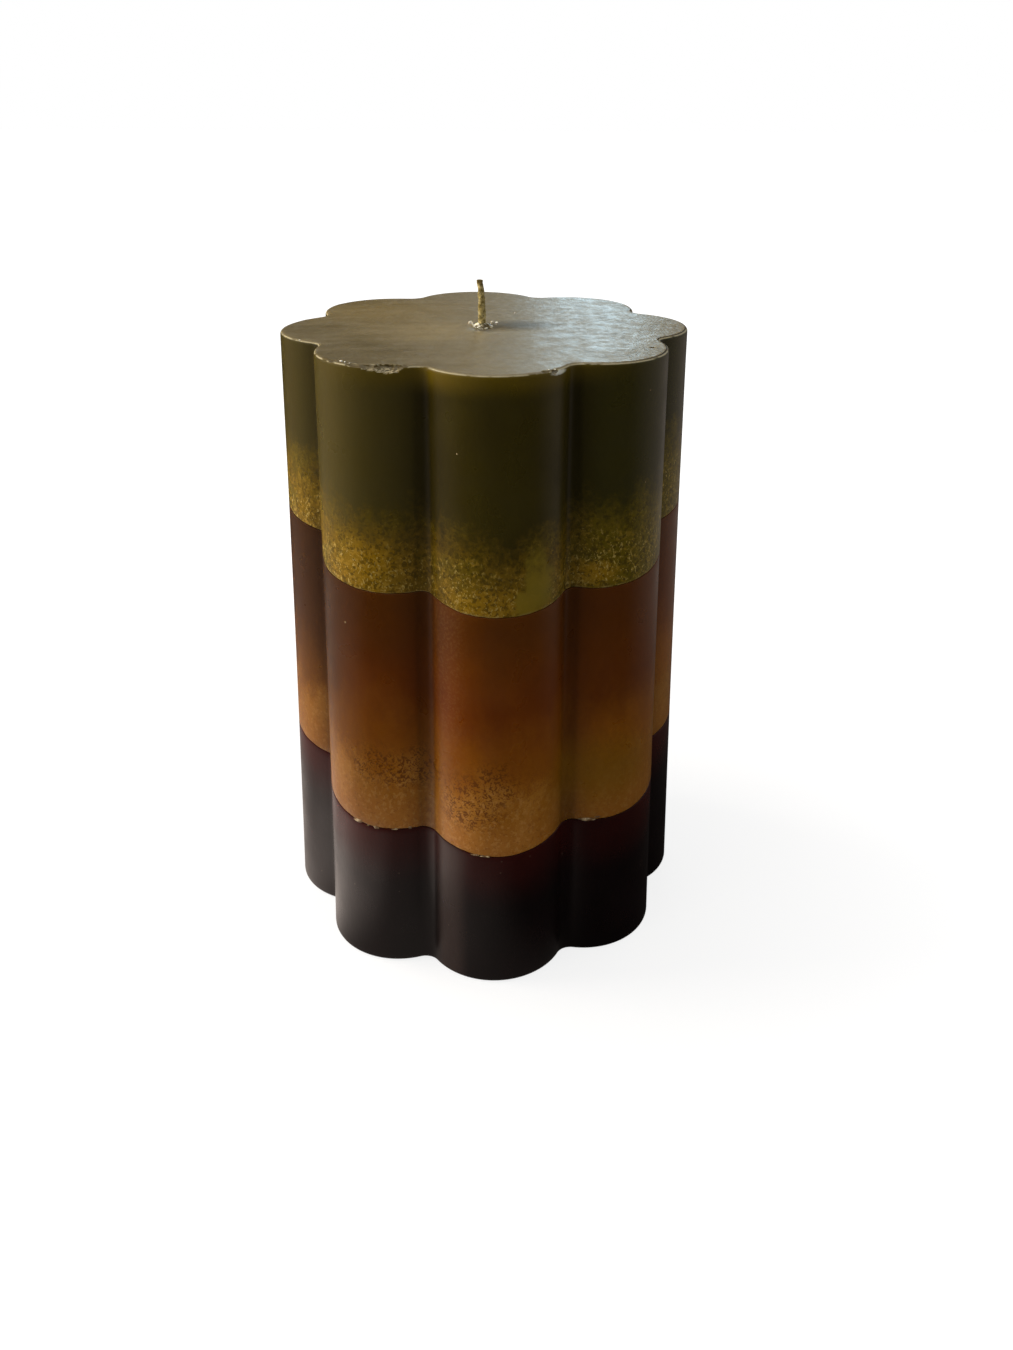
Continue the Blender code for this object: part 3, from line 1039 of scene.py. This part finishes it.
def flake_shades(where):
    """A shade for each flake, in clumps of darker and paler ones."""
    cells = add(where.recipe, "TexVoronoi", {"Vector": frayed(where, 0.8, 1.3), "Scale": 1.8}, "Color")
    flakes = add(where.recipe, "SeparateColor", {0: cells}, "Red")
    return flakes + (grain(where, 2.2, 5, 0.7, 0.8) - 0.5) * 1.7


def mix_band(where, up, tint):
    """Stirs the mottled band into the lowest two centimetres."""
    wisps = grain(where, 9, 4, 0.6)
    fine = grain(where, 1.4, 4, 0.7, 0.5)
    across = where.part("X")
    edge = up + (wisps - 0.5) * -22 + (fine - 0.5) * 14 + across.fade(13, 22, 0, -4)
    right = across.fade(13, 24)
    shaken = frayed(where, 3, 5)
    smooth = spots(shaken, SMOOTH_SPOTS, 0.25)
    busy = 1 - smooth * 0.8

    moss = stir((114, 87, 6), wisps.fade(0.4, 0.6), (98, 80, 8))
    moss = stir(moss, right * 0.85, (96, 82, 0))
    moss = stir(moss, spots(shaken, GOLD_SPOTS, 0.7) * 0.75, (150, 112, 6))
    flakes = flake_shades(where)
    moss = stir(moss, flakes.fade(0.14, 0.34, 1, 0) * busy * 0.62, (62, 48, 2))
    paler = flakes.fade(0.74, 0.95) * busy * edge.fade(4, 16, 1, 0.3) * (0.55 - right * 0.2)
    moss = stir(moss, paler, (168, 132, 44))
    strokes = stretched_grain(where, (1, 1, 1.5), 0.7, 3, 0.6, 1.2).fade(0.58, 0.64)
    moss = stir(moss, strokes * busy * edge.fade(4, 14, 0.8, 0.1), (186, 160, 88))
    moss = stir(moss, smooth * 0.7, (132, 112, 26))
    # painted shade in the valleys
    moss = stir(moss, painted_valley_shade(where) * 0.4, (34, 24, 1))
    return stir(tint, edge.fade(8, 22, 1, 0), moss)


print("golden and smooth patches:", len(GOLD_SPOTS) + len(SMOOTH_SPOTS))

# %% [markdown]
# ## The top face
# The top is a separate skin: satin olive brown with long faint streaks and two lighter patches. Soot
# darkens it close to the wick. Towards the right, where the window's light runs over it, a painted sheen
# makes it paler, and painted sparkle of light and dark specks stands for that light on the small pebbles
# in the skin.

# %% Mix the top face
TOP = BODY_HEIGHT / MM
LIGHT_PATCH = ((-27, 22, TOP), (16, 14, 9))
WARM_PATCH = ((-14, -4, TOP), (17, 11, 9))
SOOTY_SPOTS = (
    ((-0.6, -1.6, TOP), (2.4, 2.6, 3)),
    ((7.6, 1.8, TOP), (8.5, 4.4, 3)),
    ((2.6, -0.6, TOP), (1.3, 1.1, 3)),
)


def pebbled(where):
    """Small pebbles in the skin of the top."""
    return stretched_grain(where, (1, 1.8, 1), 1.3, 3, 0.6)


def mix_top_face(where):
    """The satin skin of the top: streaks, soot, two lighter patches, and painted sheen and sparkle on the
    right.
    """
    across = where.part("X")
    streaks = stretched_grain(where, (5, 1, 1), 3.5, 4, 0.6)
    skin = stir((90, 79, 52), grain(where, 22, 2).fade(0.35, 0.65), (105, 94, 68))
    skin = stir(skin, streaks.fade(0.4, 0.7, 0, 0.6), (124, 113, 88))
    # painted sheen: paler towards the right, where the window's light runs over the top
    skin = stir(skin, across.fade(-34, 2, 0, 0.75), (132, 122, 98))
    skin = stir(skin, spot(where, *LIGHT_PATCH, 0.8) * 0.45, (138, 118, 72))
    # painted sparkle of the window's sheen: light and dark specks, stronger towards the right
    top_sparkle_paint = pebbled(where)
    lit = across.fade(-8, 30, 0.08, 0.38)
    skin = stir(skin, top_sparkle_paint.fade(0.52, 0.64) * lit, (158, 158, 150))
    skin = stir(skin, top_sparkle_paint.fade(0.36, 0.46, 1, 0) * lit, (84, 78, 60))
    skin = stir(skin, spot(frayed(where, 6, 4), *WARM_PATCH, 0.8) * 0.35, (158, 140, 100))
    return stir(skin, spots(frayed(where, 2, 1.2), SOOTY_SPOTS, 0.8) * 0.6, (58, 57, 52))


print("sooty spots:", len(SOOTY_SPOTS))

# %% [markdown]
# ## Olive wax
# The head is deep olive and very smooth. Its walls get painted light and shade: lighter from the front-left
# lobe leftwards, darker in the valleys. Under the lip, where the wax is thin to the light, a gold glow is
# painted, and along the upper pour line runs a faint pale seam. Along the lip the colour is worn to cream,
# two short stretches carry a painted highlight, and fresh breaks are paler still. On the right a dark line
# of painted shade follows the lip's inner edge, which turns away from the window.

# %% Mix the olive wax
# painted light: lighter from the front-left lobe leftwards, less so far left; the last row turns the right
# greyer
OLIVE_SIDE_LIGHT_AND_SHADE = (
    (-15.5, -18.5, 0.9, (74, 64, 24)),
    (-36, -46, 0.6, (56, 48, 12)),
    (14, 24, 0.8, (54, 50, 15)),
)
LIP_GLOW_SPOT = ((-4, -48, 148), (26, 26, 20))
PAINTED_LIP_HIGHLIGHTS = (  # where the lip gets a painted highlight
    ((13.4, -44.6, 149.1), (3.6, 1.8, 0.45)),
    ((39.5, -21.0, 149.4), (4.5, 3.5, 0.9)),
)
TOP_DEPTH = 0.08


def wear_lip(where, facing_up, below_lip, tint):
    """Wears and breaks the colour along the lip, and paints highlights and a line of shade on it."""
    lip = facing_up.strip(0.4, 0.6, 0.7, 0.85) * below_lip.fade(1, 2, 1, 0)
    worn = lip * grain(where, 4, 3).fade(0.34, 0.52)
    tint = stir(tint, worn * 0.85, (178, 168, 134))
    # painted highlights: two short bright stretches on the lip
    lip_highlight_paint = spots(frayed(where, 1.5, 0.6), PAINTED_LIP_HIGHLIGHTS, 0.5) * facing_up.fade(0.95, 0.8)
    tint = stir(tint, lip_highlight_paint * 0.85, (226, 226, 212))
    # painted shade: a dark line along the lip's inner edge on the right, which faces away from the window
    rim_shade_paint = facing_up.strip(0.8, 0.88, 0.96, 0.99) * where.part("X").fade(22, 36)
    tint = stir(tint, rim_shade_paint * 0.8, (36, 30, 16))
    broken = add(where.recipe, "Attribute", {}, "Fac", attribute_name="broken")
    shards = grain(where, 0.7, 3, 0.6, 0.6).fade(0.45, 0.6)
    fresh = stir((86, 74, 46), shards * below_lip.fade(0.5, 1.1), (176, 164, 130))
    return stir(tint, broken.fade(0.2, 0.5, 0, 0.85), fresh)


def mix_olive():
    """Deep olive, with the mottled band at its foot, the top face and the worn lip."""
    material, where = new_recipe("olive_wax", WAX_SPECULAR, glow=0.1)
    recipe = where.recipe
    up = height_over(where, HIGH_LINE)
    clouds = grain(where, 28, 3)
    below_lip = TOP - where.part("Z")
    facing_up = add(recipe, "NewGeometry", {}, "Normal").part("Z")
    top = facing_up.fade(0.55, 0.85) * below_lip.fade(1.5, 2.5, 1, 0)

    tint = stir((52, 43, 4), clouds.fade(0.35, 0.65), (62, 53, 11))
    # painted light and shade from side to side
    tint = paint_side_light_and_shade(tint, where, OLIVE_SIDE_LIGHT_AND_SHADE)
    # painted shade in the valleys
    tint = stir(tint, painted_valley_shade(where) * 0.6, (18, 14, 1))
    # painted glow: gold under the lip, where light shines through the thin wax
    lip_glow_paint = (below_lip + clouds * 5).fade(3, 9, 0.85, 0) * spot(where, *LIP_GLOW_SPOT, 0.8)
    tint = stir(tint, lip_glow_paint, (98, 80, 6))
    tint = mix_band(where, up, tint)
    seam = up.fade(0.1, 0.6, 1, 0) * grain(where, 1.5).fade(0.4, 0.6)
    tint = stir(tint, seam * 0.5, (160, 138, 80))
    tint = stir(tint, top, mix_top_face(where))
    tint = wear_lip(where, facing_up, below_lip, tint)

    wall_skin = stretched_grain(where, (1, 1, 2), 0.6, 3) * 0.25
    pebbly = pebbled(where) * where.part("X").fade(0, 24, 0.12, 1.1)
    top_skin = pebbly + stretched_grain(where, (1, 1.4, 1), 3.4, 4, 0.65) * 0.5
    relief = add(recipe, "Mix", {"Factor": top, "A": wall_skin, "B": top_skin})
    veils = stretched_grain(where, (1.5, 1.5, 1), 3, 5, 0.75).fade(0.36, 0.64, 0.3, 0.42)
    roughness = add(recipe, "Mix", {"Factor": top, "A": satin(where, 8), "B": veils})
    return finish_with(material, tint, roughness, relief, TOP_DEPTH)


olive_wax = mix_olive()
print("mixed", olive_wax.name)

# %% [markdown]
# ## Pale wax, cotton and steel
# The crumbs are cream. The collar round the wick is the same wax, dirtied by soot, and the flecks in the
# wall are tan from the amber round them, so one recipe mixes all three. The wick's cotton has drunk wax
# and turned tan gold, with dark spots and a darker cut end. The disc is tinned steel, bright with fine
# marks.

# %% Mix the small finishes
DRIPS = {  # glow and its reach, cloud size, where clouds turn, dark and light colour, roughness
    "pale_wax": (0.1, 0.4, 0.9, (0.35, 0.65), (188, 180, 154), (244, 242, 232), (0.4, 0.55)),
    "collar_wax": (0.2, 0.8, 1.1, (0.42, 0.68), (92, 80, 50), (232, 226, 202), (0.35, 0.5)),
    "fleck_wax": (0.2, 0.8, 1.1, (0.42, 0.68), (112, 84, 54), (196, 172, 134), (0.35, 0.5)),
}
CUT_END_TOP = WICK_TOP / MM


def mix_drip(name):
    """Wax of a drop, a crumb or a fleck."""
    glow, glow_reach, size, turn, dark, light, roughness = DRIPS[name]
    material, where = new_recipe(name, 0.3, glow, glow_reach)
    clouds = grain(where, size, 3)
    tint = stir(dark, clouds.fade(*turn), light)
    return finish_with(material, tint, clouds.fade(0.3, 0.7, *roughness), grain(where, 0.3, 3), 0.05)


def mix_cotton():
    """Waxed cotton with pale flecks, dark spots and a singed end."""
    material, where = new_recipe("waxed_cotton", 0.25, glow=0.1, glow_reach=0.4)
    wax = grain(where, 0.8, 3)
    tint = stir((122, 106, 54), wax.fade(0.35, 0.65), (188, 172, 116))
    tint = stir(tint, grain(where, 0.3, 2).fade(0.58, 0.7) * 0.6, (224, 208, 160))
    tint = stir(tint, grain(where, 0.45, 2).fade(0.3, 0.42, 1, 0) * 0.75, (54, 40, 14))
    singed = where.part("Z").fade(CUT_END_TOP - 2.2, CUT_END_TOP - 0.2)
    tint = stir(tint, singed * 0.45, (96, 78, 48))
    fibres = stretched_grain(where, (1, 1, 4), 0.12, 2)
    return finish_with(material, tint, wax.fade(0.3, 0.7, 0.5, 0.75), fibres, 0.05)


def mix_steel():
    """Tinned steel with dull stains and fine marks."""
    material, where = new_recipe("tinned_steel", 0.5, metallic=1.0)
    tint = stir((196, 196, 192), grain(where, 3.5, 4).fade(0.4, 0.7), (160, 158, 152))
    marks = grain(where, 0.25, 3)
    return finish_with(material, tint, marks.fade(0.3, 0.7, 0.24, 0.4), marks, 0.01)


pale_wax, collar_wax, fleck_wax = (mix_drip(name) for name in DRIPS)
waxed_cotton = mix_cotton()
tinned_steel = mix_steel()
print("mixed", ", ".join((*DRIPS, waxed_cotton.name, tinned_steel.name)))

# %% [markdown]
# ## Fit the pieces
# Nothing on a candle moves, so every piece rides on the one body. Each pour stands for its CAD node, which
# is hidden.

# %% Fit every piece
FITTED = (
    (plum_pour, plum_wax, "base_layer", "plum_wax"),
    (amber_pour, amber_wax, "middle_layer", "amber_wax"),
    (olive_pour, olive_wax, "top_layer", "olive_wax"),
    (cotton_wick, waxed_cotton, "wick", "waxed_cotton"),
    (pale_seal, collar_wax, "wick_seal", "pale_wax"),
    (steel_disc, tinned_steel, "wick_sustainer", "tinned_steel"),
    (wick_crumbs, pale_wax, None, "pale_wax"),
    (lip_crumbs, pale_wax, None, "pale_wax"),
    (wall_flecks, fleck_wax, None, "pale_wax"),
)
for piece, finish, node, slot in FITTED:
    piece.data.materials.append(finish)
    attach(piece, "root")
    if node:
        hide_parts(node)
print("fitted:", len(FITTED), "pieces")

# %% [markdown]
# ## Floor and light
# The photo's candle stands on plain white. One tall soft light on the left shapes the lobes, a weaker one
# stands in for the wall beside it, and a window behind on the right throws the pale sheen across the top.
# The ceiling and the room give the rest.
# The white around the candle is only what the camera sees, straight or through glass. Light paths tell
# those rays from the ones that light the wax, and from mirrored ones. Near-black wax would turn grey if it
# mirrored a white room, so mirrored rays see a dim one with a bright left side.

# %% Lay the floor and hang the lights
FLOOR_HALF = 4.0
FLOOR_DROP = 0.02 * MM
FLOOR_GREY = 0.22
FLOOR_GLOW = 0.8
ROOM = 0.68
ROOM_AHEAD = 0.25
MIRRORED_ROOM = 0.015
MIRRORED_TINT = (1, 0.86, 0.77, 1)
BRIGHT_SIDE = (-0.99, 0.14, 0)
FAR_SIDE = (0.94, 0.34, 0)
LIGHTS = (  # name, place and aim in mm, width and height in mm, power, tint, whether wax mirrors it
    ("tall_light", (-618, 166, 260), (0, 0, 90), (460, 800), 9.2, (1.0, 0.9, 0.78), False),
    ("left_wall", (-520, -370, 200), (0, 0, 90), (500, 600), 0.6, (1.0, 0.92, 0.8), False),
    ("window", (166, 880, 328), (30, 0, 150), (96, 110), 0.27, (0.62, 0.86, 1.0), True),
    ("ceiling", (-100, 0, 900), (0, 0, 100), (700, 700), 1.5, (1.0, 0.95, 0.86), True),
)


def ray_kinds(recipe):
    """Two switches: 1 for rays from the camera or through glass, and 1 for mirrored rays."""
    camera = add(recipe, "LightPath", {}, "Is Camera Ray")
    through_glass = add(recipe, "LightPath", {}, "Is Transmission Ray")
    return camera.larger(through_glass), add(recipe, "LightPath", {}, "Is Glossy Ray")


def mirrored_room(direction):
    """The room as wax mirrors it, in two parts: bright on the left, and faint far on the right."""
    left = direction.along(BRIGHT_SIDE).fade(0.6, 1, 0, 0.42)
    return left + MIRRORED_ROOM, direction.along(FAR_SIDE).fade(0.5, 1, 0, 0.26)


def mirrored_floor(where):
    """The same room on the floor: brighter close to the candle, and dimmer far away."""
    far = where.far()
    across = where.part("X")
    bright, faint = mirrored_room(where.moved("NORMALIZE"))
    beside = across.fade(30, -25, 0, 0.33) + across.fade(-33, -58, 0, 0.9)
    near = beside * (where.part("Y") * -1).fade(-4, 24, 0.3, 1) * far.fade(70, 130, 1, 0)
    return bright * far.fade(140, 500, 1, 0.45) + near + faint * far.fade(60, 300)


def lay_floor():
    """A plain pale floor that keeps the candle's shadow."""
    bpy.ops.mesh.primitive_plane_add(size=2 * FLOOR_HALF, location=(0, 0, -FLOOR_DROP))
    floor = bpy.context.object
    floor.name = "floor"
    material = bpy.data.materials.new("pale_floor")
    material.use_nodes = True
    recipe = material.node_tree
    recipe.nodes.remove(recipe.nodes["Principled BSDF"])
    direct, glossy = ray_kinds(recipe)
    where = place(recipe)
    matt = add(recipe, "BsdfDiffuse", {"Color": (FLOOR_GREY, FLOOR_GREY, FLOOR_GREY, 1)})
    glow = add(recipe, "Emission", {"Strength": direct * where.far().fade(60, 260, FLOOR_GLOW, 1)})
    lit = add(recipe, "AddShader", {0: matt, 1: glow})
    mirrored = add(recipe, "Emission", {"Color": MIRRORED_TINT, "Strength": mirrored_floor(where)})
    either = add(recipe, "MixShader", {0: glossy, 1: lit, 2: mirrored})
    recipe.links.new(either.socket, recipe.nodes["Material Output"].inputs["Surface"])
    floor.data.materials.append(material)


def light_room():
    """The room's own light, and the white that the camera sees."""
    world = bpy.data.worlds.new("room")
    world.use_nodes = True
    bpy.context.scene.world = world
    recipe = world.node_tree
    recipe.nodes.clear()
    direct, glossy = ray_kinds(recipe)
    direction = add(recipe, "TexCoord", {}, "Generated")
    bright, faint = mirrored_room(direction)
    lit = direction.along((0, -1, 0)).fade(0.2, 0.95, ROOM, ROOM_AHEAD)
    seen = add(recipe, "Mix", {"Factor": glossy, "A": lit, "B": bright + faint})
    background = add(recipe, "Background", {"Color": (1, 1, 1, 1), "Strength": direct.larger(seen)})
    out = recipe.nodes.new("ShaderNodeOutputWorld")
    recipe.links.new(background.socket, out.inputs["Surface"])


def hang_light(name, at, aim, size, power, tint, mirrored):
    """A soft rectangular light that the camera doesn't see."""
    lamp = bpy.data.lights.new(name, "AREA")
    lamp.shape = "RECTANGLE"
    lamp.size, lamp.size_y = (side * MM for side in size)
    lamp.energy = power
    lamp.color = tint
    hung = bpy.data.objects.new(name, lamp)
    hung.location = Vector(at) * MM
    hung.rotation_euler = (Vector(aim) - Vector(at)).to_track_quat("-Z", "Y").to_euler()
    hung.visible_camera = False
    hung.visible_glossy = mirrored
    bpy.context.scene.collection.objects.link(hung)


lay_floor()
light_room()
for light in LIGHTS:
    hang_light(*light)
print("lights:", ", ".join(light[0] for light in LIGHTS))

# %% [markdown]
# ## Last settings
# The plain Standard view keeps colours as written.

# %% Finish
bpy.context.scene.view_settings.view_transform = "Standard"
